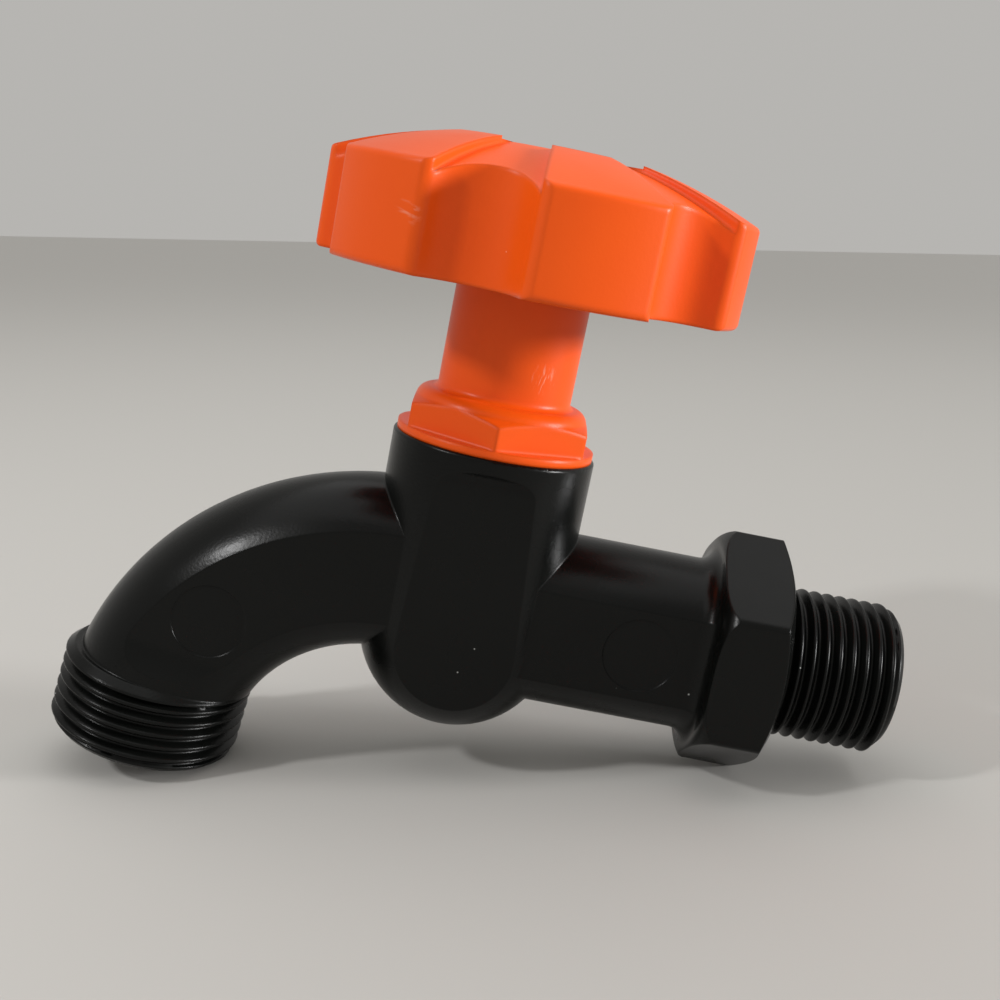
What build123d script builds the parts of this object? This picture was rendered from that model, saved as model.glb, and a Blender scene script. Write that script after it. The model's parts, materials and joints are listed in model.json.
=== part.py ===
"""Plastic screw-down garden tap: black body, orange bonnet and six-lobed orange knob.

The origin is on the inlet axis at the shoulder of the hexagon flange. +X runs along the inlet thread,
+Z along the spindle, and the spout points to -X. The tap is modelled closed.
"""
import math
import os

from build123d import *

# Inlet: a half-inch pipe thread, modelled at its crests
inlet_thread_radius = 10.478
inlet_thread_length = 16.6
inlet_bore_radius = 6.2
inlet_tip_chamfer = 0.9

# Hexagon flange behind the inlet thread
flange_across_flats = 29.8
flange_thickness = 9.8
flange_corner_radius = 1.2
flange_bevel_radius = 14.1
flange_bevel_depth = 1.5
flange_back_radius = 2.8
flange_root_share = 0.75

# Pipe and spout share one section: a round tube with two flat sides
tube_radius = 12.05
tube_flat_distance = 10.35
tube_edge_radius = 0.4
spout_bore_radius = 8.3

# Valve chamber
stem_to_shoulder = 43.4
chamber_radius = 13.9
chamber_rim_height = 22.8
chamber_dome_height = -3.9
chamber_bore_radius = 10.6
rim_edge_radius = 0.4

# Flat panel on the front and back of the chamber, with a scooped top end
panel_distance = 12.3
panel_top_height = 18.0
panel_lean_degrees = 2.4
panel_scoop_radius = 3.4

# Valve seat inside the chamber
shelf_height = 8.0
seat_height = 9.5
seat_outer_radius = 7.4
seat_bore_radius = 5.25
weir_distance = 7.8

# Spout: an arc that ends in the outlet's direction, and the three-quarter-inch outlet thread
spout_arc_radius = 32.35
spout_arc_offset = 9.2
spout_crest_height = 3.74
outlet_tilt_degrees = 6.7
outlet_thread_radius = 13.22
outlet_collar_length = 11.6
outlet_straight_length = 3.4
outlet_tip_chamfer = 0.8
outlet_top_chamfer = 1.0
spout_lip_distance = 1.6
spout_scoop_radius = 8.0

# Shallow round insert marks on the flat sides
mark_radius = 5.0
mark_depth = 0.2
pipe_mark_distance = 24.4
spout_mark_angle = 47.3

# Bonnet
bonnet_flange_radius = 13.5
bonnet_flange_thickness = 1.1
bonnet_across_flats = 23.4
bonnet_hex_height = 5.3
bonnet_corner_drop = 2.2
bonnet_face_drop = 1.4
bonnet_top_radius = 9.9
bonnet_shoulder_radius = 1.75
bonnet_neck_radius = 9.1
bonnet_neck_gap = 0.8
bonnet_spigot_length = 8.35
bonnet_thread_clearance = 0.1
bonnet_neck_root_radius = 0.8
valve_pocket_radius = 8.0
valve_pocket_height = 22.0
thread_bore_top = 33.0

# Rubber ring under the bonnet's flange
bonnet_seal_width = 1.3
bonnet_seal_depth = 1.9
seal_edge_radius = 0.4
seal_clearance = 0.05

# Spindle
spindle_thread_radius = 6.45
spindle_thread_top = 26.0
stem_radius = 5.0
running_clearance = 0.05
drive_size = 6.8
drive_length = 8.2
stem_seal_section = 1.8
stem_seal_depth = 1.3
stem_seal_first = 34.6
stem_seal_spacing = 3.6
screw_radius = 2.0
screw_depth = 9.0

# Jumper valve, its washer and nut
washer_thickness = 3.0
washer_radius = 7.2
jumper_disc_thickness = 2.0
jumper_pin_radius = 3.0
jumper_pin_length = 7.0
stud_radius = 1.75
stud_length = 5.1
nut_across_flats = 6.0
nut_thickness = 1.6

# Knob
lobe_count = 6
knob_radius = 28.45
knob_base_height = 44.2
knob_rim_height = 13.1
knob_top_height = 19.2
knob_edge_radius = 0.8
knob_turn_degrees = 15.0
flute_angle_degrees = 27.2
flute_depth = 5.6
flute_corner_radius = 1.8
flute_corner_margin = 0.05
flute_floor_drop_centre = 0.75
flute_floor_drop_rim = 1.8
centre_flat_radius = 13.5
centre_flat_drop = 1.7
knob_wall = 2.4
hub_radius = 7.4
hub_base_height = 3.6
rib_thickness = 1.6
rib_base_height = 4.4
drive_clearance = 0.1
screw_seat_height = 14.6
screw_recess_radius = 4.6

# Knob screw
screw_head_radius = 3.8
screw_head_height = 2.4
screw_shank_length = 9.5
screw_slot_width = 0.9
screw_slot_depth = 1.1
screw_clearance = 0.05

# Places worked out from the sizes above
stem_x = -stem_to_shoulder
stem_axis = Axis((stem_x, 0, 0), (0, 0, 1))
stem_section = Plane((stem_x, 0, 0), x_dir=(1, 0, 0), z_dir=(0, -1, 0))
flange_corner_distance = flange_across_flats / math.sqrt(3)
flange_root_radius = flange_root_share * (flange_across_flats / 2 - tube_radius)
chamber_bottom = chamber_dome_height - chamber_radius
reach = 2 * knob_radius

spout_centre_x = stem_x - spout_arc_offset
spout_centre_z = spout_crest_height - spout_arc_radius
outlet_tilt = math.radians(outlet_tilt_degrees)
outlet_direction = Vector(-math.sin(outlet_tilt), 0, -math.cos(outlet_tilt))
spout_end_angle = 90 - outlet_tilt_degrees

seal_floor_height = chamber_rim_height - bonnet_seal_depth
spigot_radius = chamber_bore_radius - bonnet_thread_clearance
seal_outer_radius = spigot_radius + bonnet_seal_width
spigot_end_height = chamber_rim_height - bonnet_spigot_length
hex_base_height = chamber_rim_height + bonnet_flange_thickness
hex_top_height = hex_base_height + bonnet_hex_height
bonnet_corner_distance = bonnet_across_flats / math.sqrt(3)
bonnet_face_distance = bonnet_across_flats / 2

jumper_disc_base = seat_height + washer_thickness
spindle_base_height = jumper_disc_base + jumper_disc_thickness
drive_base_height = knob_base_height + hub_base_height
neck_top_height = drive_base_height - bonnet_neck_gap
screw_seat_level = knob_base_height + screw_seat_height
drive_hole_size = drive_size + 2 * drive_clearance
stem_groove_radius = stem_radius - stem_seal_depth
stem_seal_heights = (stem_seal_first, stem_seal_first + stem_seal_spacing)


def stem_plane(height: float) -> Plane:
    """Return the level plane at a height, centred on the spindle's axis."""
    return Plane((stem_x, 0, height))


def turned_face(*points: tuple[float, float]) -> Sketch:
    """Return the half section through (radius, height) points, to be turned about the spindle's axis."""
    with BuildSketch(stem_section) as half_section:
        with BuildLine():
            Polyline(*points, close=True)
        make_face()
    return half_section.sketch


def spout_point(angle_degrees: float) -> Vector:
    """Return the point of the spout's centre line at an angle past its crest."""
    angle = math.radians(angle_degrees)
    x = spout_centre_x - spout_arc_radius * math.sin(angle)
    z = spout_centre_z + spout_arc_radius * math.cos(angle)
    return Vector(x, 0, z)


def dome_face(apex: float, rim_level: float, wall_radius: float, edge_radius: float = 0) -> Sketch:
    """Return the half section under a spherical cap, down to the knob's base, with rounded outer corners.

    The cap falls from its apex to the rim level at the knob's own radius, whatever the wall's radius is.
    """
    fall = apex - rim_level
    sphere_radius = (knob_radius**2 + fall**2) / (2 * fall)
    wall_level = apex - sphere_radius + math.sqrt(sphere_radius**2 - wall_radius**2)
    with BuildSketch(stem_section) as half_section:
        with BuildLine():
            cap = RadiusArc((0, apex), (wall_radius, wall_level), sphere_radius)
            Polyline(cap @ 1, (wall_radius, knob_base_height), (0, knob_base_height), cap @ 0)
        make_face()
        if edge_radius > 0:
            fillet(half_section.vertices().group_by(Axis.X)[-1], radius=edge_radius)
    return half_section.sketch


spout_start_angle = math.degrees(math.asin((weir_distance - spout_arc_offset) / spout_arc_radius))
spout_end = spout_point(spout_end_angle)
outlet_rim = spout_end + outlet_direction * outlet_straight_length
collar_top = outlet_rim - outlet_direction * outlet_collar_length
collar_plane = Plane(collar_top, x_dir=(0, 1, 0), z_dir=outlet_direction)
flat_depth = tube_radius - tube_flat_distance
scoop_run = math.sqrt(spout_scoop_radius**2 - (spout_scoop_radius - flat_depth) ** 2)
lip_rise = spout_lip_distance - (spout_scoop_radius - scoop_run)
lip_point = collar_top - outlet_direction * lip_rise
lip_plane = Plane(lip_point, x_dir=(0, 1, 0), z_dir=-outlet_direction)
inlet_plane = Plane.YZ
pipe_plane = Plane.YZ.offset(stem_x)

# Tool that leaves a flat side of the spout, ending above the collar in a scoop
with BuildPart() as spout_flat:
    with BuildSketch(lip_plane):
        with Locations((tube_flat_distance + tube_radius / 2, 0)):
            Rectangle(tube_radius, 2 * reach)
    extrude(amount=reach)
    lip_edge = spout_flat.edges().group_by(Axis.Y)[0].sort_by(Axis.Z)[0]
    fillet(lip_edge, radius=spout_scoop_radius)

# Spout: a bent tube with two flat sides
with BuildPart() as spout:
    with BuildLine() as spout_path:
        ThreePointArc(spout_point(0), spout_point(spout_end_angle / 2), spout_end)
    with BuildSketch(Plane(spout_path.line @ 0, z_dir=spout_path.line % 0)):
        Circle(tube_radius)
    sweep(path=spout_path.line)
    add(spout_flat.part, mode=Mode.SUBTRACT)
    add(mirror(spout_flat.part, about=Plane.XZ, mode=Mode.PRIVATE), mode=Mode.SUBTRACT)

# Outlet collar, bevelled at both ends
with BuildPart() as outlet_collar:
    with BuildSketch(collar_plane):
        Circle(outlet_thread_radius)
    extrude(amount=outlet_collar_length)
    chamfer(outlet_collar.faces().sort_by(Axis.Z)[0].edges(), length=outlet_tip_chamfer)
    chamfer(outlet_collar.faces().sort_by(Axis.Z)[-1].edges(), length=outlet_top_chamfer)

# Tool that leaves a flat panel of the chamber, with the scoop at its top
panel_lean = math.tan(math.radians(panel_lean_degrees))
panel_foot_height = chamber_bottom - chamber_radius
panel_foot_distance = panel_distance - panel_lean * (panel_top_height - panel_foot_height)
panel_far_distance = panel_distance + panel_scoop_radius + chamber_radius
scoop_top_height = panel_top_height + panel_scoop_radius
scoop_end = (panel_distance + panel_scoop_radius, scoop_top_height)

with BuildPart() as chamber_panel:
    with BuildSketch(pipe_plane):
        with BuildLine():
            flat = Line((panel_foot_distance, panel_foot_height), (panel_distance, panel_top_height))
            scoop = RadiusArc(flat @ 1, scoop_end, panel_scoop_radius)
            Polyline(
                scoop @ 1,
                (panel_far_distance, scoop_top_height),
                (panel_far_distance, panel_foot_height),
                flat @ 0,
            )
        make_face()
    extrude(amount=chamber_radius, both=True)

# Valve chamber with its round bottom and two panels
with BuildPart() as chamber:
    with BuildSketch(stem_section):
        with BuildLine():
            wall = Line((chamber_radius, chamber_rim_height), (chamber_radius, chamber_dome_height))
            bottom = RadiusArc(wall @ 1, (0, chamber_bottom), chamber_radius)
            Polyline(bottom @ 1, (0, chamber_rim_height), wall @ 0)
        make_face()
    revolve(axis=stem_axis)
    fillet(chamber.faces().sort_by(Axis.Z)[-1].edges(), radius=rim_edge_radius)
    add(chamber_panel.part, mode=Mode.SUBTRACT)
    add(mirror(chamber_panel.part, about=Plane.XZ, mode=Mode.PRIVATE), mode=Mode.SUBTRACT)

# Tool for one round insert mark on the pipe and one on the spout
with BuildPart() as insert_marks:
    with BuildSketch(Plane.XZ.offset(tube_flat_distance - mark_depth)):
        with Locations((stem_x + pipe_mark_distance, 0)):
            Circle(mark_radius)
        with Locations((spout_point(spout_mark_angle).X, spout_point(spout_mark_angle).Z)):
            Circle(mark_radius)
    extrude(amount=tube_radius)

# Hexagon flange, with a corner at the top, a turned bevel on its thread side and a turned round at its back
with BuildPart() as inlet_flange:
    with BuildSketch(inlet_plane.offset(-flange_thickness)):
        RegularPolygon(radius=flange_corner_distance, side_count=6, rotation=90)
    extrude(amount=flange_thickness)
    fillet(inlet_flange.edges().filter_by(Axis.X), radius=flange_corner_radius)
    with BuildSketch(Plane.XY):
        with BuildLine():
            shoulder = RadiusArc(
                (-flange_thickness, flange_corner_distance - flange_back_radius),
                (flange_back_radius - flange_thickness, flange_corner_distance),
                flange_back_radius,
            )
            Polyline(
                shoulder @ 1,
                (-flange_bevel_depth, flange_corner_distance),
                (0, flange_bevel_radius),
                (0, 0),
                (-flange_thickness, 0),
                shoulder @ 0,
            )
        make_face()
    revolve(axis=Axis.X, mode=Mode.INTERSECT)

# Body
with BuildPart() as body:
    # Inlet pipe, hexagon flange and thread stub
    with BuildSketch(pipe_plane) as pipe_sketch:
        Circle(tube_radius)
        Rectangle(2 * tube_flat_distance, 2 * tube_radius, mode=Mode.INTERSECT)
        fillet(pipe_sketch.vertices(), radius=tube_edge_radius)
    extrude(amount=stem_to_shoulder - flange_thickness)
    add(inlet_flange.part)
    flange_back = body.faces().filter_by_position(Axis.X, -flange_thickness, -flange_thickness)[0]
    fillet(flange_back.inner_wires()[0].edges(), radius=flange_root_radius)
    with BuildSketch(inlet_plane):
        Circle(inlet_thread_radius)
    extrude(amount=inlet_thread_length)
    chamfer(body.faces().sort_by(Axis.X)[-1].edges(), length=inlet_tip_chamfer)
    # Chamber, spout and outlet collar
    add(chamber.part)
    add(spout.part)
    add(outlet_collar.part)
    add(insert_marks.part, mode=Mode.SUBTRACT)
    add(mirror(insert_marks.part, about=Plane.XZ, mode=Mode.PRIVATE), mode=Mode.SUBTRACT)
    # Waterway: inlet bore, seat with its shelf, valve space, and the spout's bore
    with BuildSketch(inlet_plane.offset(inlet_thread_length)):
        Circle(inlet_bore_radius)
    extrude(amount=-(inlet_thread_length + stem_to_shoulder + seat_bore_radius), mode=Mode.SUBTRACT)
    valve_space = turned_face(
        (0, 0),
        (seat_bore_radius, 0),
        (seat_bore_radius, seat_height),
        (seat_outer_radius, seat_height),
        (seat_outer_radius, shelf_height),
        (chamber_bore_radius, shelf_height),
        (chamber_bore_radius, seal_floor_height),
        (seal_outer_radius, seal_floor_height),
        (seal_outer_radius, chamber_rim_height),
        (0, chamber_rim_height),
    )
    revolve(valve_space, axis=stem_axis, mode=Mode.SUBTRACT)
    with BuildLine() as bore_path:
        bend = ThreePointArc(
            spout_point(spout_start_angle),
            spout_point((spout_start_angle + spout_end_angle) / 2),
            spout_end,
        )
        Line(bend @ 1, outlet_rim)
    with BuildSketch(Plane(bore_path.line @ 0, z_dir=bore_path.line % 0)):
        Circle(spout_bore_radius)
    sweep(path=bore_path.line, mode=Mode.SUBTRACT)

# Bonnet: spigot, flange, hexagon and neck in one
with BuildPart() as bonnet:
    with BuildSketch(stem_plane(hex_base_height)):
        RegularPolygon(radius=bonnet_corner_distance, side_count=6, rotation=90)
    extrude(amount=bonnet_hex_height)
    with BuildSketch(stem_section):
        with BuildLine():
            side = Polyline(
                (0, hex_top_height),
                (0, hex_base_height),
                (bonnet_corner_distance, hex_base_height),
                (bonnet_corner_distance, hex_top_height - bonnet_corner_drop),
                (bonnet_face_distance, hex_top_height - bonnet_face_drop),
            )
            shoulder = RadiusArc(side @ 1, (bonnet_top_radius, hex_top_height), -bonnet_shoulder_radius)
            Line(shoulder @ 1, side @ 0)
        make_face()
    revolve(axis=stem_axis, mode=Mode.INTERSECT)
    turned_outside = turned_face(
        (0, spigot_end_height),
        (spigot_radius, spigot_end_height),
        (spigot_radius, chamber_rim_height),
        (bonnet_flange_radius, chamber_rim_height),
        (bonnet_flange_radius, hex_base_height),
        (bonnet_neck_radius, hex_base_height),
        (bonnet_neck_radius, neck_top_height),
        (0, neck_top_height),
    )
    revolve(turned_outside, axis=stem_axis)
    neck_root = bonnet.edges().filter_by(GeomType.CIRCLE).filter_by_position(
        Axis.Z, hex_top_height, hex_top_height
    )
    fillet(neck_root.sort_by(SortBy.RADIUS)[0], radius=bonnet_neck_root_radius)
    turned_bore = turned_face(
        (0, spigot_end_height),
        (valve_pocket_radius, spigot_end_height),
        (valve_pocket_radius, valve_pocket_height),
        (spindle_thread_radius + running_clearance, valve_pocket_height),
        (spindle_thread_radius + running_clearance, thread_bore_top),
        (stem_radius + running_clearance, thread_bore_top),
        (stem_radius + running_clearance, neck_top_height),
        (0, neck_top_height),
    )
    revolve(turned_bore, axis=stem_axis, mode=Mode.SUBTRACT)

# Rubber ring under the bonnet's flange
with BuildPart() as bonnet_seal:
    with BuildSketch(stem_plane(seal_floor_height)):
        Circle(seal_outer_radius)
        Circle(spigot_radius, mode=Mode.SUBTRACT)
    extrude(amount=bonnet_seal_depth)
    fillet(bonnet_seal.edges().filter_by(GeomType.CIRCLE), radius=seal_edge_radius)

# Spindle: thread, stem with two seal grooves, and square drive
with BuildPart() as spindle:
    turned_spindle = turned_face(
        (0, spindle_base_height),
        (spindle_thread_radius, spindle_base_height),
        (spindle_thread_radius, spindle_thread_top),
        (stem_radius, spindle_thread_top),
        (stem_radius, drive_base_height),
        (0, drive_base_height),
    )
    revolve(turned_spindle, axis=stem_axis)
    with BuildSketch(stem_plane(drive_base_height)):
        Rectangle(drive_size, drive_size, rotation=knob_turn_degrees)
    extrude(amount=drive_length)
    for groove_height in stem_seal_heights:
        with BuildSketch(stem_plane(groove_height - seal_clearance)):
            Circle(stem_radius)
            Circle(stem_groove_radius, mode=Mode.SUBTRACT)
        extrude(amount=stem_seal_section + 2 * seal_clearance, mode=Mode.SUBTRACT)
    with BuildSketch(stem_plane(spindle_base_height)):
        Circle(jumper_pin_radius + running_clearance)
    extrude(amount=jumper_pin_length + running_clearance, mode=Mode.SUBTRACT)
    with BuildSketch(stem_plane(drive_base_height + drive_length)):
        Circle(screw_radius)
    extrude(amount=-screw_depth, mode=Mode.SUBTRACT)

# Rubber rings in the spindle's grooves
stem_seals = {}
for seal_name, groove_height in zip(("spindle_seal_lower", "spindle_seal_upper"), stem_seal_heights):
    with BuildPart() as stem_seal:
        with BuildSketch(stem_plane(groove_height)):
            Circle(stem_radius)
            Circle(stem_groove_radius, mode=Mode.SUBTRACT)
        extrude(amount=stem_seal_section)
        fillet(stem_seal.edges().filter_by(GeomType.CIRCLE), radius=seal_edge_radius)
    stem_seals[seal_name] = stem_seal

# Jumper valve: stud, disc and guide pin
with BuildPart() as jumper:
    turned_jumper = turned_face(
        (0, jumper_disc_base - stud_length),
        (stud_radius, jumper_disc_base - stud_length),
        (stud_radius, jumper_disc_base),
        (washer_radius, jumper_disc_base),
        (washer_radius, spindle_base_height),
        (jumper_pin_radius, spindle_base_height),
        (jumper_pin_radius, spindle_base_height + jumper_pin_length),
        (0, spindle_base_height + jumper_pin_length),
    )
    revolve(turned_jumper, axis=stem_axis)

# Rubber washer that closes on the seat
with BuildPart() as seat_washer:
    with BuildSketch(stem_plane(seat_height)):
        Circle(washer_radius)
        Circle(stud_radius + seal_clearance, mode=Mode.SUBTRACT)
    extrude(amount=washer_thickness)
    fillet(seat_washer.edges().group_by(Axis.Z)[-1].sort_by(SortBy.RADIUS)[-1], radius=seal_edge_radius)

# Nut that holds the washer
with BuildPart() as washer_nut:
    with BuildSketch(stem_plane(seat_height)):
        RegularPolygon(radius=nut_across_flats / 2, side_count=6, major_radius=False)
        Circle(stud_radius + seal_clearance, mode=Mode.SUBTRACT)
    extrude(amount=-nut_thickness)

# Knob outline: a circle with a flute between each two lobes
flute_half_angle = math.radians(flute_angle_degrees / 2)
flute_floor_radius = knob_radius - flute_depth
flute_centre_radius = (knob_radius**2 - flute_floor_radius**2) / (
    2 * (knob_radius * math.cos(flute_half_angle) - flute_floor_radius)
)
flute_radius = flute_centre_radius - flute_floor_radius
lobe_step_degrees = 360 / lobe_count
lobe_turn_degrees = knob_turn_degrees + lobe_step_degrees / 2
knob_plane = stem_plane(knob_base_height)
knob_rim_level = knob_base_height + knob_rim_height
knob_apex_level = knob_base_height + knob_top_height
centre_flat_level = knob_apex_level - centre_flat_drop
floor_rim_level = knob_rim_level - flute_floor_drop_rim
floor_apex_level = knob_apex_level - flute_floor_drop_centre


def lobed_sketch(inset: float) -> Sketch:
    """Return the knob's outline, moved inward by an inset, with rounded lobe corners."""
    with BuildSketch(knob_plane) as outline:
        Circle(knob_radius + flute_corner_margin - inset)
        with PolarLocations(flute_centre_radius, lobe_count, start_angle=knob_turn_degrees):
            Circle(flute_radius + inset, mode=Mode.SUBTRACT)
        fillet(outline.vertices(), radius=flute_corner_radius)
    return outline.sketch


# Tool for the lowered tops between the lobes
outside_radius = knob_radius + knob_wall

with BuildPart() as flute_tops:
    with BuildSketch(knob_plane):
        with PolarLocations(0, lobe_count, start_angle=knob_turn_degrees):
            Polygon(
                (0, 0),
                (reach, -reach * math.tan(flute_half_angle)),
                (reach, reach * math.tan(flute_half_angle)),
                align=None,
            )
    extrude(amount=reach)
    floor_section = dome_face(floor_apex_level, floor_rim_level, outside_radius)
    revolve(floor_section, axis=stem_axis, mode=Mode.SUBTRACT)

# Tool for the hollow underside
hollow_apex_level = floor_apex_level - knob_wall
hollow_rim_level = floor_rim_level - knob_wall

with BuildPart() as knob_hollow:
    extrude(lobed_sketch(knob_wall), amount=reach)
    hollow_section = dome_face(hollow_apex_level, hollow_rim_level, outside_radius)
    revolve(hollow_section, axis=stem_axis, mode=Mode.INTERSECT)

# Hub and ribs, which end inside the knob's roof and wall
hub_apex_level = floor_apex_level - knob_wall / 2
hub_rim_level = floor_rim_level - knob_wall / 2
rib_end_radius = knob_radius - knob_wall / 2

with BuildPart() as knob_hub:
    with BuildSketch(stem_plane(knob_base_height + rib_base_height)):
        with PolarLocations(knob_radius / 2, lobe_count, start_angle=lobe_turn_degrees):
            Rectangle(knob_radius, rib_thickness)
    extrude(amount=reach)
    with BuildSketch(stem_plane(drive_base_height)):
        Circle(hub_radius)
    extrude(amount=reach)
    hub_section = dome_face(hub_apex_level, hub_rim_level, rib_end_radius)
    revolve(hub_section, axis=stem_axis, mode=Mode.INTERSECT)

# Knob: a turned dome with rounded edges, cut to the lobed outline, with a flat round centre
with BuildPart() as knob:
    knob_section = dome_face(knob_apex_level, knob_rim_level, knob_radius, knob_edge_radius)
    revolve(knob_section, axis=stem_axis)
    extrude(lobed_sketch(0), amount=reach, mode=Mode.INTERSECT)
    add(flute_tops.part, mode=Mode.SUBTRACT)
    with BuildSketch(stem_plane(centre_flat_level)):
        Circle(centre_flat_radius)
    extrude(amount=reach, mode=Mode.SUBTRACT)
    add(knob_hollow.part, mode=Mode.SUBTRACT)
    add(knob_hub.part)
    with BuildSketch(stem_plane(drive_base_height)):
        Rectangle(drive_hole_size, drive_hole_size, rotation=knob_turn_degrees)
    extrude(amount=drive_length + drive_clearance, mode=Mode.SUBTRACT)
    with BuildSketch(stem_plane(screw_seat_level)):
        Circle(screw_recess_radius)
    extrude(amount=reach, mode=Mode.SUBTRACT)
    with BuildSketch(stem_plane(screw_seat_level)):
        Circle(screw_radius + drive_clearance)
    extrude(amount=drive_base_height - screw_seat_level, mode=Mode.SUBTRACT)

# Screw that holds the knob on the spindle
with BuildPart() as knob_screw:
    turned_screw = turned_face(
        (0, screw_seat_level - screw_shank_length),
        (screw_radius - screw_clearance, screw_seat_level - screw_shank_length),
        (screw_radius - screw_clearance, screw_seat_level),
        (screw_head_radius, screw_seat_level),
        (screw_head_radius, screw_seat_level + screw_head_height),
        (0, screw_seat_level + screw_head_height),
    )
    revolve(turned_screw, axis=stem_axis)
    fillet(knob_screw.faces().sort_by(Axis.Z)[-1].edges(), radius=screw_slot_depth)
    with BuildSketch(stem_plane(screw_seat_level + screw_head_height)):
        with PolarLocations(0, 2, angular_range=180):
            SlotOverall(screw_head_radius, screw_slot_width)
    extrude(amount=-screw_slot_depth, mode=Mode.SUBTRACT)

pieces = {
    "body": body,
    "bonnet": bonnet,
    "bonnet_seal": bonnet_seal,
    "spindle": spindle,
    "jumper": jumper,
    "seat_washer": seat_washer,
    "washer_nut": washer_nut,
    "knob": knob,
    "knob_screw": knob_screw,
}
pieces.update(stem_seals)

os.makedirs("parts", exist_ok=True)
for piece_name, piece in pieces.items():
    piece.part.label = piece_name
    export_step(piece.part, f"parts/{piece_name}.step")
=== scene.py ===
"""Looks of a plastic garden tap: black body with moulded threads, orange bonnet and lobed orange knob."""
import json
import logging
import math
from dataclasses import dataclass, field
from enum import Enum

import bmesh
import bpy
from mathutils import Matrix, Vector


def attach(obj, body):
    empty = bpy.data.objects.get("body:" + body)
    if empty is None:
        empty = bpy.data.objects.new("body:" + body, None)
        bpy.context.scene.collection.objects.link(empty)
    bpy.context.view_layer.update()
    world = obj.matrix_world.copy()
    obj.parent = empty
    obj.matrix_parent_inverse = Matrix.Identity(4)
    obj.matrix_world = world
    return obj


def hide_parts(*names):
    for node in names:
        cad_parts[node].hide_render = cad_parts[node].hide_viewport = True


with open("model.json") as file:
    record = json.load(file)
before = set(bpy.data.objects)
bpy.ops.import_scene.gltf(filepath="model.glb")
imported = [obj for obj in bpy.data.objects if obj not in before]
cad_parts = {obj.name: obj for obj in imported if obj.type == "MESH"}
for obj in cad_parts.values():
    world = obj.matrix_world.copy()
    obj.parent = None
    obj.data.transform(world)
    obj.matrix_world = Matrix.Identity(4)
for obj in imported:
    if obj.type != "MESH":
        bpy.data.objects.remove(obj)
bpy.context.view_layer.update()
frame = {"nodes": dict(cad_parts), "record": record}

MM = 0.001
LOG = logging.getLogger("tap")
HANDLE_TURN = next(j for j in frame["record"]["behaviour"]["joints"] if j["name"] == "handle_turn")
STEM_X_MM = HANDLE_TURN["pos_m"][0] / MM

# The noise texture stays mostly between these two values
NOISE_LOW, NOISE_HIGH = 0.3, 0.7

# Phase that the ring texture gains in one unit of distance at a scale of 1
RING_PHASE = 20.0


class Slot(Enum):
    """Material slots of the record."""

    BLACK_PLASTIC = "black_plastic"
    ORANGE_PLASTIC = "orange_plastic"
    WHITE_PLASTIC = "white_plastic"
    RUBBER = "rubber"
    BRASS = "brass"
    STEEL = "steel"


def linear(hex_colour: str) -> tuple[float, float, float, float]:
    """Turn an sRGB hex colour into the linear colour that a shader takes.

    Args:
        hex_colour: Six hex digits with a leading hash mark.

    Returns:
        Linear red, green, blue and an alpha of 1.
    """
    channels = [int(hex_colour[i:i + 2], 16) / 255 for i in (1, 3, 5)]
    red, green, blue = [c / 12.92 if c <= 0.04045 else ((c + 0.055) / 1.055) ** 2.4 for c in channels]
    return red, green, blue, 1.0


def add_node(
    tree: bpy.types.NodeTree, kind: str, inputs: dict | None = None, **settings: object
) -> bpy.types.Node:
    """Add a node, set it up, and link or set its inputs.

    Args:
        tree: Node tree that gets the node.
        kind: Type name of the node.
        inputs: Values or output sockets by input name or number.
        settings: Attributes of the node.

    Returns:
        The new node.
    """
    node = tree.nodes.new(kind)
    for name, value in settings.items():
        setattr(node, name, value)
    for key, value in (inputs or {}).items():
        if isinstance(value, bpy.types.NodeSocket):
            tree.links.new(value, node.inputs[key])
        else:
            node.inputs[key].default_value = value
    return node


def per_metre(size_mm: float) -> float:
    """Return the texture scale that gives a pattern of a size in millimetres."""
    return 1 / (size_mm * MM)


def new_material(name: str) -> tuple[bpy.types.Material, bpy.types.NodeTree, bpy.types.Node]:
    """Make an empty node material with a shader on its output.

    Args:
        name: Name of the material.

    Returns:
        The material, its node tree and its shader node.
    """
    material = bpy.data.materials.new(name)
    material.use_nodes = True
    tree = material.node_tree
    tree.nodes.clear()
    shader = add_node(tree, "ShaderNodeBsdfPrincipled")
    add_node(tree, "ShaderNodeOutputMaterial", {"Surface": shader.outputs["BSDF"]})
    return material, tree, shader


@dataclass(frozen=True)
class Scuff:
    """A small pale rub on a moulded skin: short broken lines along a direction, inside a soft ball."""

    centre_mm: tuple[float, float, float]
    radius_mm: float
    line_mm: float
    along: tuple[float, float, float]
    strength: float
    stretch: float = 6.0
    faint: float = 0.54
    clear: float = 0.66
    core_share: float = 1 / 3


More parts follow.
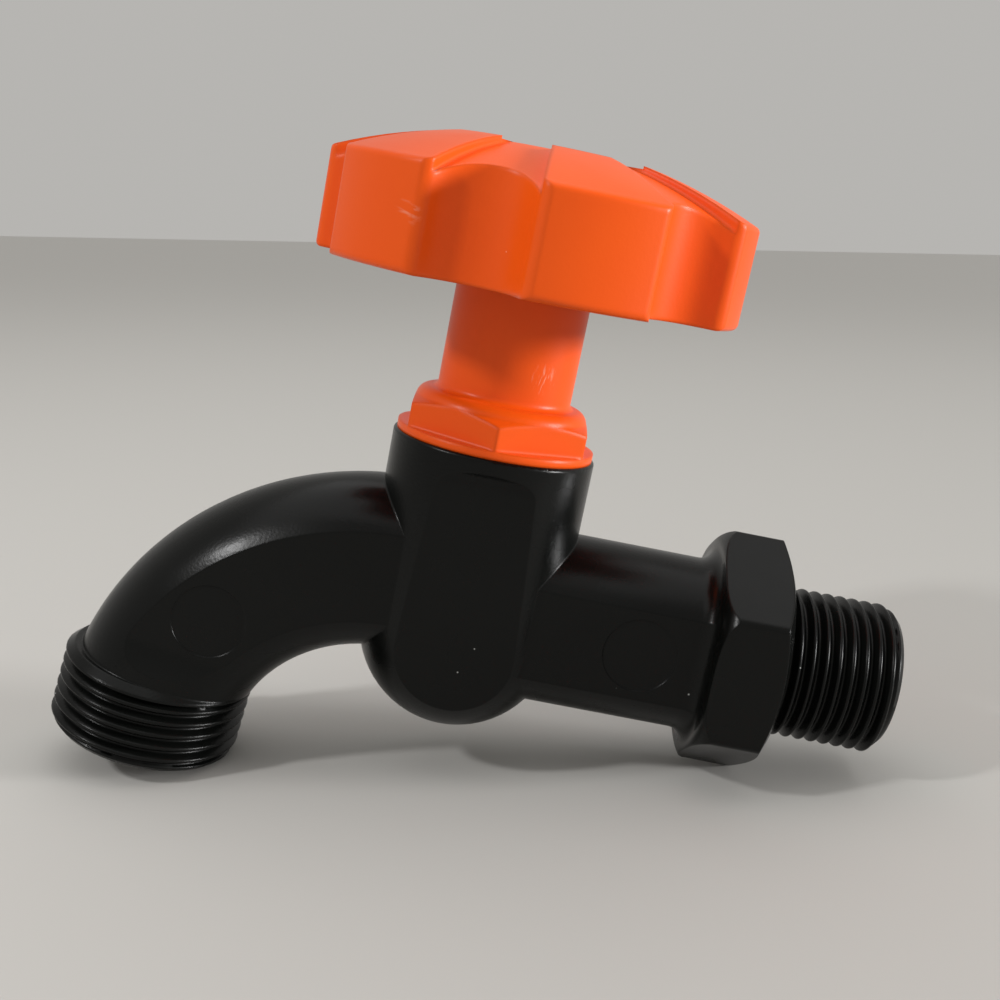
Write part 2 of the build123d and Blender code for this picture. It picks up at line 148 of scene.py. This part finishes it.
@dataclass(frozen=True)
class MouldedPlastic:
    """An injection-moulded plastic: even colour under a satin skin that copies the mould's fine grain."""

    name: str
    colour: str
    deep_colour: str
    dust_colour: str
    roughness: float
    ior: float
    specular: float
    edge_mm: float
    grain_mm: float
    grain_depth_mm: float
    cloud_mm: float
    dust_cell_mm: float
    dust_mm: float
    scuffs: tuple[Scuff, ...] = ()
    cloud_detail: float = 3.0
    grain_detail: float = 2.0
    gloss_spread: float = 0.05
    edge_samples: int = 8

    def build(self) -> bpy.types.Material:
        """Make the material: clouded colour and gloss, dust specks, rubs, soft edges and a fine grain.

        Returns:
            The finished material.
        """
        material, tree, shader = new_material(self.name)
        place = add_node(tree, "ShaderNodeTexCoord").outputs["Object"]
        clouds = add_node(
            tree,
            "ShaderNodeTexNoise",
            {"Vector": place, "Scale": per_metre(self.cloud_mm), "Detail": self.cloud_detail},
        )
        tint = add_node(
            tree,
            "ShaderNodeMix",
            {"Factor": clouds.outputs["Fac"], "A": linear(self.colour), "B": linear(self.deep_colour)},
            data_type="RGBA",
        )
        grain = add_node(
            tree,
            "ShaderNodeTexNoise",
            {"Vector": place, "Scale": per_metre(self.grain_mm), "Detail": self.grain_detail},
        )
        marks = self._dust(tree, place)
        for scuff in self.scuffs:
            rub = self._rub(tree, place, scuff)
            marks = add_node(tree, "ShaderNodeMath", {0: marks, 1: rub}, operation="MAXIMUM").outputs[0]
        dusted = add_node(
            tree,
            "ShaderNodeMix",
            {"Factor": marks, "A": tint.outputs["Result"], "B": linear(self.dust_colour)},
            data_type="RGBA",
        )
        spread = add_node(
            tree,
            "ShaderNodeMapRange",
            {
                "Value": clouds.outputs["Fac"],
                "From Min": NOISE_LOW,
                "From Max": NOISE_HIGH,
                "To Min": self.roughness - self.gloss_spread,
                "To Max": self.roughness + self.gloss_spread,
            },
        )
        edges = add_node(tree, "ShaderNodeBevel", {"Radius": self.edge_mm * MM}, samples=self.edge_samples)
        bump = add_node(
            tree,
            "ShaderNodeBump",
            {
                "Height": grain.outputs["Fac"],
                "Strength": 1.0,
                "Distance": self.grain_depth_mm * MM,
                "Normal": edges.outputs["Normal"],
            },
        )
        tree.links.new(dusted.outputs["Result"], shader.inputs["Base Color"])
        tree.links.new(spread.outputs["Result"], shader.inputs["Roughness"])
        tree.links.new(bump.outputs["Normal"], shader.inputs["Normal"])
        shader.inputs["IOR"].default_value = self.ior
        shader.inputs["Specular IOR Level"].default_value = self.specular
        return material

    def _dust(self, tree: bpy.types.NodeTree, place: bpy.types.NodeSocket) -> bpy.types.NodeSocket:
        """Add sparse specks: small balls, one in each cell of space, that show where the skin cuts them.

        Args:
            tree: The material's node tree.
            place: Object coordinates.

        Returns:
            A mask that is 1 on a speck.
        """
        cells = add_node(
            tree, "ShaderNodeTexVoronoi", {"Vector": place, "Scale": per_metre(self.dust_cell_mm)}
        )
        reach = self.dust_mm / self.dust_cell_mm
        return add_node(
            tree,
            "ShaderNodeMapRange",
            {"Value": cells.outputs["Distance"], "From Min": reach, "From Max": reach / 2},
        ).outputs["Result"]

    def _rub(
        self, tree: bpy.types.NodeTree, place: bpy.types.NodeSocket, scuff: Scuff
    ) -> bpy.types.NodeSocket:
        """Add a patch of short broken lines inside a soft ball.

        Args:
            tree: The material's node tree.
            place: Object coordinates.
            scuff: Where the rub is and how fine.

        Returns:
            A mask that is the rub's strength on the lines and 0 between them.
        """
        local = add_node(
            tree, "ShaderNodeMapping", {"Vector": place, "Location": [-c * MM for c in scuff.centre_mm]}
        )
        turn = Vector(scuff.along).to_track_quat("Z", "Y").inverted().to_euler()
        turned = add_node(tree, "ShaderNodeMapping", {"Vector": local.outputs["Vector"], "Rotation": turn})
        fine, long = per_metre(scuff.line_mm), per_metre(scuff.stretch * scuff.line_mm)
        drawn = add_node(
            tree,
            "ShaderNodeVectorMath",
            {0: turned.outputs["Vector"], 1: (fine, fine, long)},
            operation="MULTIPLY",
        )
        lines = add_node(
            tree,
            "ShaderNodeTexNoise",
            {"Vector": drawn.outputs["Vector"], "Scale": 1.0, "Detail": self.grain_detail},
        )
        sharp = add_node(
            tree,
            "ShaderNodeMapRange",
            {
                "Value": lines.outputs["Fac"],
                "From Min": scuff.faint,
                "From Max": scuff.clear,
                "To Max": scuff.strength,
            },
        )
        distance = add_node(tree, "ShaderNodeVectorMath", {0: local.outputs["Vector"]}, operation="LENGTH")
        radius = scuff.radius_mm * MM
        inside = add_node(
            tree,
            "ShaderNodeMapRange",
            {"Value": distance.outputs["Value"], "From Min": radius, "From Max": radius * scuff.core_share},
        )
        return add_node(
            tree,
            "ShaderNodeMath",
            {0: sharp.outputs["Result"], 1: inside.outputs["Result"]},
            operation="MULTIPLY",
        ).outputs[0]


@dataclass(frozen=True)
class TurnedMetal:
    """A metal turned on a lathe: fine rings about the spindle's axis."""

    name: str
    colour: str
    roughness: float
    ring_mm: float
    ring_depth_mm: float
    axis_mm: tuple[float, float]
    ring_strength: float = 0.6
    wobble: float = 0.5
    gloss_spread: float = 0.06

    def build(self) -> bpy.types.Material:
        """Make the material, with rings as bump and a little unevenness in its gloss.

        Returns:
            The finished material.
        """
        material, tree, shader = new_material(self.name)
        place = add_node(tree, "ShaderNodeTexCoord").outputs["Object"]
        centre = [-self.axis_mm[0] * MM, -self.axis_mm[1] * MM, 0.0]
        centred = add_node(tree, "ShaderNodeMapping", {"Vector": place, "Location": centre})
        rings = add_node(
            tree,
            "ShaderNodeTexWave",
            {
                "Vector": centred.outputs["Vector"],
                "Scale": per_metre(self.ring_mm) * 2 * math.pi / RING_PHASE,
                "Distortion": self.wobble,
            },
            wave_type="RINGS",
            rings_direction="Z",
        )
        bump = add_node(
            tree,
            "ShaderNodeBump",
            {
                "Height": rings.outputs["Fac"],
                "Strength": self.ring_strength,
                "Distance": self.ring_depth_mm * MM,
            },
        )
        spread = add_node(
            tree,
            "ShaderNodeMapRange",
            {
                "Value": rings.outputs["Fac"],
                "To Min": self.roughness - self.gloss_spread,
                "To Max": self.roughness + self.gloss_spread,
            },
        )
        tree.links.new(bump.outputs["Normal"], shader.inputs["Normal"])
        tree.links.new(spread.outputs["Result"], shader.inputs["Roughness"])
        shader.inputs["Base Color"].default_value = linear(self.colour)
        shader.inputs["Metallic"].default_value = 1.0
        return material


# A mould's grain and a lathe's marks are typically under 0.1 mm, too fine to show here,
# so the grain is drawn at 0.25 to 0.5 mm and the marks at 0.6 mm

# Polypropylene with carbon black: deep black, with a satin skin that sparkles a little along its grain
POLYPROPYLENE_BLACK = MouldedPlastic(
    name="polypropylene_black_moulded",
    colour="#090a09",
    deep_colour="#060706",
    dust_colour="#9a9b98",
    roughness=0.27,
    ior=1.49,
    specular=0.18,
    edge_mm=0.4,
    grain_mm=0.42,
    grain_depth_mm=0.016,
    cloud_mm=14.0,
    dust_cell_mm=6.5,
    dust_mm=0.16,
)

# Dyed ABS: a strong even orange, smoother than the body, with soft wide highlights and two pale rubs
ABS_ORANGE = MouldedPlastic(
    name="abs_orange_moulded",
    colour="#f05c12",
    deep_colour="#e84f0d",
    dust_colour="#f3b9a0",
    roughness=0.34,
    ior=1.52,
    specular=0.2,
    edge_mm=0.8,
    grain_mm=0.4,
    grain_depth_mm=0.012,
    cloud_mm=18.0,
    dust_cell_mm=9.0,
    dust_mm=0.12,
    scuffs=(
        Scuff(
            centre_mm=(-38.8, -7.85, 33.5),
            radius_mm=2.2,
            line_mm=0.3,
            along=(0.1, 0.06, 1.0),
            strength=0.4,
        ),
        Scuff(
            centre_mm=(-58.5, -24.1, 51.2),
            radius_mm=1.9,
            line_mm=0.6,
            along=(0.85, -0.53, -0.1),
            strength=0.3,
        ),
    ),
)

# Acetal: bright white and slippery, with a smooth skin
ACETAL_WHITE = MouldedPlastic(
    name="acetal_white_moulded",
    colour="#e6e3da",
    deep_colour="#dcd8cd",
    dust_colour="#b8b4aa",
    roughness=0.3,
    ior=1.48,
    specular=0.5,
    edge_mm=0.2,
    grain_mm=0.5,
    grain_depth_mm=0.006,
    cloud_mm=10.0,
    dust_cell_mm=8.0,
    dust_mm=0.1,
)

# Synthetic rubber: dull black with a fine bloom
RUBBER_BLACK = MouldedPlastic(
    name="epdm_rubber_black",
    colour="#1b1b1b",
    deep_colour="#242424",
    dust_colour="#6a6a68",
    roughness=0.72,
    ior=1.52,
    specular=0.4,
    edge_mm=0.1,
    grain_mm=0.25,
    grain_depth_mm=0.02,
    cloud_mm=5.0,
    dust_cell_mm=4.0,
    dust_mm=0.12,
)

# Brass and stainless steel as turned: warm or cool metal with fine rings
BRASS_TURNED = TurnedMetal(
    name="brass_turned",
    colour="#d9b36a",
    roughness=0.28,
    ring_mm=0.6,
    ring_depth_mm=0.01,
    axis_mm=(STEM_X_MM, 0.0),
)
STEEL_TURNED = TurnedMetal(
    name="stainless_steel_turned",
    colour="#c9c9c6",
    roughness=0.26,
    ring_mm=0.6,
    ring_depth_mm=0.01,
    axis_mm=(STEM_X_MM, 0.0),
)


def dress(piece: bpy.types.Object, material: bpy.types.Material) -> None:
    """Give a piece one material all over.

    Args:
        piece: Mesh object.
        material: Finish of the whole piece.
    """
    slots = piece.material_slots
    if slots:
        for slot in slots:
            slot.material = material
    else:
        piece.data.materials.append(material)


@dataclass
class PipeThread:
    """A right-hand parallel pipe thread on a stub of the body, with sizes in millimetres.

    The local frame has its origin on the axis where the stub leaves the body, and +Z out along the stub.
    Flanks lean by flank_degrees, and crests and roots are round.
    """

    name: str
    place: Matrix
    crest_radius: float
    bore_radius: float
    length: float
    cut: float
    first: float
    last: float
    tip_radius: float
    tip_chamfer: float
    pitch: float = 1.814
    depth: float = 1.16
    steps: int = 72
    rounding: float = 0.249
    flank_degrees: float = 27.5
    arc_steps: int = 3
    run_out: float = 0.15
    weld: float = 0.002
    trim_slack: float = 0.001
    cut_slack: float = 0.0005
    level_slack: float = 0.01
    margin_before: float = 0.5
    margin_past: float = 1.0
    reach: float = 1.2

    def local(self, point: Vector) -> tuple[float, float]:
        """Return a point's distance along the stub and from its axis, in millimetres."""
        seen = self.place.inverted() @ point
        return seen.z / MM, math.hypot(seen.x, seen.y) / MM

    def form(self) -> list[tuple[float, float]]:
        """Draw one pitch of the thread's outline, from the middle of a root to the middle of the next.

        Returns:
            Distances along the axis and out from the root.
        """
        sweep = math.radians(90 - self.flank_degrees) / self.arc_steps
        angles = [sweep * step for step in range(self.arc_steps + 1)]
        root = [(self.rounding * math.sin(a), self.rounding * (1 - math.cos(a))) for a in angles]
        crest = [(self.pitch / 2 - along, self.depth - out) for along, out in reversed(root)]
        rise = root + crest
        fall = [(self.pitch - along, out) for along, out in reversed(rise)]
        return rise + fall[1:]

    def helix(self) -> bpy.types.Mesh:
        """Spin one pitch of the thread's form along the axis and trim it at both ends.

        Returns:
            A mesh of the thread's skin, in the row frame.
        """
        bm = bmesh.new()
        root = self.crest_radius - self.depth
        start = self.first - self.pitch
        turns = math.ceil((self.last - self.first) / self.pitch) + 2
        ring = [bm.verts.new(((root + out) * MM, 0.0, (start + along) * MM)) for along, out in self.form()]
        line = [bm.edges.new(pair) for pair in zip(ring, ring[1:])]
        bmesh.ops.spin(
            bm,
            geom=ring + line,
            cent=(0, 0, 0),
            axis=(0, 0, 1),
            dvec=(0, 0, self.pitch * MM / self.steps),
            angle=2 * math.pi * turns,
            steps=self.steps * turns,
            use_merge=False,
            use_duplicate=False,
        )
        bmesh.ops.remove_doubles(bm, verts=bm.verts, dist=self.weld * MM)
        for level, outer in ((self.first, False), (self.last, True)):
            bmesh.ops.bisect_plane(
                bm,
                geom=bm.verts[:] + bm.edges[:] + bm.faces[:],
                dist=self.trim_slack * MM,
                plane_co=(0, 0, level * MM),
                plane_no=(0, 0, 1),
                clear_outer=outer,
                clear_inner=not outer,
            )
        bmesh.ops.transform(bm, matrix=self.place, verts=bm.verts)
        mesh = bpy.data.meshes.new(f"{self.name}_skin")
        bm.to_mesh(mesh)
        bm.free()
        return mesh

    def open_loop(
        self, bm: bmesh.types.BMesh, level: float, low: float, high: float
    ) -> list[bmesh.types.BMEdge]:
        """Find the open edges at a level of the stub.

        Args:
            bm: Mesh to look in.
            level: Distance along the stub.
            low: Least distance from the axis.
            high: Greatest distance from the axis.

        Returns:
            The open edges there.
        """
        return [
            edge
            for edge in bm.edges
            if edge.is_boundary and all(self._lies(vert, level, low, high) for vert in edge.verts)
        ]

    def hoop(self, bm: bmesh.types.BMesh, level: float, radius: float) -> list[bmesh.types.BMEdge]:
        """Add a plain circle round the stub's axis.

        Args:
            bm: Mesh that gets the circle.
            level: Distance along the stub.
            radius: Distance from the axis.

        Returns:
            The circle's edges.
        """
        made = bmesh.ops.create_circle(
            bm,
            cap_ends=False,
            segments=2 * self.steps,
            radius=radius * MM,
            matrix=self.place @ Matrix.Translation((0, 0, level * MM)),
        )
        return list({edge for vert in made["verts"] for edge in vert.link_edges})

    def put_on(self, bm: bmesh.types.BMesh) -> None:
        """Take the plain outside off a stub of the body and close it again with the thread.

        Args:
            bm: The body's merged mesh, changed in place.
        """
        axis = (self.place.to_3x3() @ Vector((0, 0, 1))).normalized()
        bmesh.ops.bisect_plane(
            bm,
            geom=self._stub(bm),
            dist=self.cut_slack * MM,
            plane_co=self.place @ Vector((0, 0, self.cut * MM)),
            plane_no=axis,
        )
        middle = (self.bore_radius + self.crest_radius) / 2
        far = 2 * self.crest_radius
        doomed = [
            face
            for face in bm.faces
            if self._beyond(face) and any(self.local(v.co)[1] > middle for v in face.verts)
        ]
        bmesh.ops.delete(bm, geom=doomed, context="FACES")
        skin = self.helix()
        bm.from_mesh(skin)
        bpy.data.meshes.remove(skin)
        shoulder = self.open_loop(bm, self.cut, middle, far)
        foot = self.open_loop(bm, self.first, middle, far)
        bmesh.ops.bridge_loops(bm, edges=shoulder + foot)
        edge = self.open_loop(bm, self.last, middle, far)
        for level, radius in (
            (self.last + self.run_out, self.tip_radius),
            (self.length - self.tip_chamfer, self.tip_radius),
            (self.length, self.tip_radius - self.tip_chamfer),
        ):
            hoop = self.hoop(bm, level, radius)
            bmesh.ops.bridge_loops(bm, edges=edge + hoop)
            edge = hoop
        mouth = self.open_loop(bm, self.length, 0.0, middle)
        bmesh.ops.triangle_fill(bm, use_beauty=True, use_dissolve=False, edges=edge + mouth, normal=axis)

    def _beyond(self, face: bmesh.types.BMFace) -> bool:
        """Tell whether a face lies on the stub, past the cut."""
        along, out = self.local(face.calc_center_median())
        return self.cut < along < self.length + self.margin_past and out < self.reach * self.crest_radius

    def _lies(self, vert: bmesh.types.BMVert, level: float, low: float, high: float) -> bool:
        """Tell whether a vertex lies at a level of the stub, between two distances from its axis."""
        along, out = self.local(vert.co)
        return abs(along - level) < self.level_slack and low <= out <= high

    def _stub(self, bm: bmesh.types.BMesh) -> list:
        """Find what the cut may touch around the stub.

        Args:
            bm: The body's merged mesh.

        Returns:
            Faces, edges and vertices there.
        """
        start, rim = self.cut - self.margin_before, self.reach * self.crest_radius
        faces = []
        for face in bm.faces:
            seen = [self.local(v.co) for v in face.verts]
            if max(along for along, _ in seen) > start and max(out for _, out in seen) < rim:
                faces.append(face)
        edges = {e for f in faces for e in f.edges}
        verts = {v for f in faces for v in f.verts}
        return faces + list(edges) + list(verts)


def stub_place(origin_mm: tuple[float, float, float], direction: Vector) -> Matrix:
    """Return the frame of a stub.

    Args:
        origin_mm: Point on the axis where the stub leaves the body.
        direction: Way out along the stub.

    Returns:
        The matrix from the stub's local frame to the row frame.
    """
    turn = direction.to_track_quat("Z", "Y").to_matrix().to_4x4()
    return Matrix.Translation([c * MM for c in origin_mm]) @ turn


def mount(name: str) -> dict:
    """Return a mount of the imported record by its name."""
    return next(m for m in frame["record"]["mounts"] if m["name"] == name)


@dataclass
class TapBody:
    """The black moulding: chamber, flat-sided pipe and spout, hexagon flange and the two threads."""

    sharp_degrees: float = 35.0
    inlet_length_mm: float = 16.6
    inlet_bore_mm: float = 6.2
    outlet_length_mm: float = 11.6
    outlet_bore_mm: float = 8.3
    outlet_tip_mm: float = 0.8
    weld_mm: float = 0.001
    least_normal: float = 0.5
    normal_layer: str = "cad_normal"
    finish: MouldedPlastic = POLYPROPYLENE_BLACK

    def threads(self) -> list[PipeThread]:
        """Place the two threads by their mounts.

        Returns:
            The inlet's and the outlet's thread.
        """
        inlet, outlet = mount("inlet_thread"), mount("outlet_thread")
        out = Vector(outlet["axis"])
        wall_end = Vector(outlet["pos_m"]) / MM
        collar_top = wall_end - out * (self.outlet_length_mm - self.outlet_tip_mm)
        return [
            PipeThread(
                name="inlet_thread",
                place=stub_place((0.0, 0.0, 0.0), Vector(inlet["axis"])),
                crest_radius=inlet["dims"]["r_mm"],
                bore_radius=self.inlet_bore_mm,
                length=self.inlet_length_mm,
                cut=0.12,
                first=0.5,
                last=15.5,
                tip_radius=9.9,
                tip_chamfer=0.7,
            ),
            PipeThread(
                name="outlet_thread",
                place=stub_place(tuple(collar_top), out),
                crest_radius=outlet["dims"]["r_mm"],
                bore_radius=self.outlet_bore_mm,
                length=self.outlet_length_mm,
                cut=1.25,
                first=1.6,
                last=10.6,
                tip_radius=12.7,
                tip_chamfer=0.6,
            ),
        ]

    def build(self) -> bpy.types.Object:
        """Make the body from the CAD node's shape, with real threads on its stubs.

        Returns:
            The finished piece, riding on the tap.
        """
        solid = frame["nodes"]["body"].data
        bm = bmesh.new()
        bm.from_mesh(solid)
        exact = bm.loops.layers.float_vector.new(self.normal_layer)
        for face in bm.faces:
            start = solid.polygons[face.index].loop_start
            for step, loop in enumerate(face.loops):
                loop[exact] = solid.corner_normals[start + step].vector
        bmesh.ops.remove_doubles(bm, verts=bm.verts, dist=self.weld_mm * MM)
        for thread in self.threads():
            thread.put_on(bm)
        bmesh.ops.recalc_face_normals(bm, faces=bm.faces)
        for face in bm.faces:
            face.smooth = True
        mesh = bpy.data.meshes.new("tap_body_moulding")
        bm.to_mesh(mesh)
        open_edges = sum(not e.is_manifold for e in bm.edges)
        bm.free()
        LOG.info("body has %d faces and %d open edges", len(mesh.polygons), open_edges)
        mesh.set_sharp_from_angle(angle=math.radians(self.sharp_degrees))
        kept = mesh.attributes[self.normal_layer]
        normals = [value.vector.copy() for value in kept.data]
        mesh.attributes.remove(kept)
        # Faces that the threads bring have no CAD normal, and a zero vector there keeps the mesh's own
        blank = (0.0, 0.0, 0.0)
        mesh.normals_split_custom_set(
            [normal.normalized() if normal.length > self.least_normal else blank for normal in normals]
        )
        piece = bpy.data.objects.new("tap_body", mesh)
        bpy.context.scene.collection.objects.link(piece)
        dress(piece, self.finish.build())
        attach(piece, "tap")
        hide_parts("body")
        return piece


@dataclass
class CarriedPieces:
    """The CAD pieces whose shape is already right, and the finish of each slot."""

    finishes: dict[Slot, MouldedPlastic | TurnedMetal] = field(
        default_factory=lambda: {
            Slot.ORANGE_PLASTIC: ABS_ORANGE,
            Slot.RUBBER: RUBBER_BLACK,
            Slot.WHITE_PLASTIC: ACETAL_WHITE,
            Slot.BRASS: BRASS_TURNED,
            Slot.STEEL: STEEL_TURNED,
        }
    )

    def build(self) -> list[bpy.types.Object]:
        """Dress each carried piece in its slot's finish, all but the black body, which is made anew.

        Returns:
            The dressed CAD objects.
        """
        materials = {slot: finish.build() for slot, finish in self.finishes.items()}
        pieces = []
        for subpart in frame["record"]["subparts"]:
            slot = Slot(subpart["material_slot"])
            if slot in materials:
                piece = frame["nodes"][subpart["node"]]
                dress(piece, materials[slot])
                pieces.append(piece)
        return pieces


@dataclass(frozen=True)
class Softbox:
    """A square soft lamp, placed in the floor's frame."""

    name: str
    place_mm: tuple[float, float, float]
    side_mm: float
    watts: float

    def light(self) -> bpy.types.Light:
        """Make the lamp's light.

        Returns:
            The light's data.
        """
        light = bpy.data.lights.new(self.name, "AREA")
        light.size = self.side_mm * MM
        light.energy = self.watts
        return light


@dataclass(frozen=True)
class Window:
    """A far window: even light that comes from the side of a point in the floor's frame."""

    name: str
    place_mm: tuple[float, float, float]
    width_degrees: float
    watts_per_square_metre: float

    def light(self) -> bpy.types.Light:
        """Make the window's light.

        Returns:
            The light's data.
        """
        light = bpy.data.lights.new(self.name, "SUN")
        light.angle = math.radians(self.width_degrees)
        light.energy = self.watts_per_square_metre
        return light


@dataclass
class Studio:
    """Pale floor under the lying tap, soft lamps and the camera, with places in millimetres."""

    flange_foot_mm: tuple[float, float] = (-1.41, -17.02)
    outlet_foot_mm: tuple[float, float] = (-72.79, -29.66)
    floor_colour: str = "#bfbdb9"
    floor_roughness: float = 0.85
    sky_colour: str = "#e2e0dc"
    sky_strength: float = 0.62
    floor_mm: float = 6000.0
    camera_mm: tuple[float, float, float] = (-46.01, -174.31, 53.45)
    azimuth_degrees: float = 1.61
    elevation_degrees: float = 12.44
    roll_degrees: float = -11.36
    focal_share: float = 1.2927
    sensor_mm: float = 36.0
    clip_start_mm: float = 10.0
    aim_height_mm: float = 15.0
    lamps: tuple[Softbox | Window, ...] = (
        Softbox(name="left_lamp", place_mm=(-425.0, -258.0, 410.0), side_mm=50.0, watts=1.15),
        Softbox(name="top_lamp", place_mm=(-40.0, 60.0, 700.0), side_mm=850.0, watts=1.8),
        Window(
            name="right_window",
            place_mm=(400.0, -50.0, 100.0),
            width_degrees=11.0,
            watts_per_square_metre=3.7,
        ),
    )

    def ground(self) -> Matrix:
        """Work out the floor's frame, through the flange's and the outlet's lowest points.

        Returns:
            The matrix from the floor's frame to the row frame.
        """
        low, high = self.outlet_foot_mm, self.flange_foot_mm
        slope = math.atan2(high[1] - low[1], high[0] - low[0])
        return Matrix.Translation((high[0] * MM, 0, high[1] * MM)) @ Matrix.Rotation(-slope, 4, "Y")

    def floor(self) -> None:
        """Make the floor that the tap lies on."""
        bm = bmesh.new()
        bmesh.ops.create_grid(
            bm, x_segments=4, y_segments=4, size=self.floor_mm * MM / 2, matrix=self.ground()
        )
        mesh = bpy.data.meshes.new("floor_sheet")
        bm.to_mesh(mesh)
        bm.free()
        sheet = bpy.data.objects.new("floor", mesh)
        bpy.context.scene.collection.objects.link(sheet)
        # Painted board: pale, even and dull, so that only shadows mark it
        material, _, shader = new_material("painted_board_pale")
        shader.inputs["Base Color"].default_value = linear(self.floor_colour)
        shader.inputs["Roughness"].default_value = self.floor_roughness
        dress(sheet, material)

    def world(self) -> None:
        """Give the scene an even pale sky."""
        world = bpy.data.worlds.new("studio")
        world.use_nodes = True
        tree = world.node_tree
        tree.nodes.clear()
        sky = add_node(
            tree,
            "ShaderNodeBackground",
            {"Color": linear(self.sky_colour), "Strength": self.sky_strength},
        )
        add_node(tree, "ShaderNodeOutputWorld", {"Surface": sky.outputs["Background"]})
        bpy.context.scene.world = world

    def hang(self, lamp: Softbox | Window) -> None:
        """Hang a lamp and point it at the tap.

        Args:
            lamp: The lamp or window.
        """
        hung = bpy.data.objects.new(lamp.name, lamp.light())
        aim = Vector((STEM_X_MM, 0.0, self.aim_height_mm)) * MM
        hung.location = self.ground() @ (Vector(lamp.place_mm) * MM)
        hung.rotation_euler = (aim - hung.location).to_track_quat("-Z", "Y").to_euler()
        bpy.context.scene.collection.objects.link(hung)

    def camera(self) -> None:
        """Put the camera where the photograph was taken from."""
        azimuth = math.radians(self.azimuth_degrees)
        elevation = math.radians(self.elevation_degrees)
        roll = math.radians(self.roll_degrees)
        reach = math.cos(elevation)
        ahead = Vector((math.sin(azimuth) * reach, math.cos(azimuth) * reach, -math.sin(elevation)))
        level = Vector((math.cos(azimuth), -math.sin(azimuth), 0.0))
        plumb = ahead.cross(level)
        right = math.cos(roll) * level + math.sin(roll) * plumb
        down = -math.sin(roll) * level + math.cos(roll) * plumb
        data = bpy.data.cameras.new("camera")
        data.sensor_width = self.sensor_mm
        data.lens = self.focal_share * self.sensor_mm
        data.clip_start = self.clip_start_mm * MM
        camera = bpy.data.objects.new("camera", data)
        turn = Matrix((right, -down, -ahead)).transposed().to_4x4()
        camera.matrix_world = Matrix.Translation([c * MM for c in self.camera_mm]) @ turn
        bpy.context.scene.collection.objects.link(camera)
        bpy.context.scene.camera = camera

    def build(self) -> None:
        """Set up floor, sky, lamps and camera, with plain view settings."""
        bpy.context.scene.view_settings.view_transform = "Standard"
        self.camera()
        self.floor()
        self.world()
        for lamp in self.lamps:
            self.hang(lamp)


def main() -> None:
    """Build the studio and the tap's pieces."""
    logging.basicConfig(level=logging.INFO, format="%(name)s: %(message)s")
    Studio().build()
    body = TapBody().build()
    LOG.info("made %s", body.name)
    for piece in CarriedPieces().build():
        LOG.info("dressed %s", piece.name)


if __name__ == "__main__":
    main()
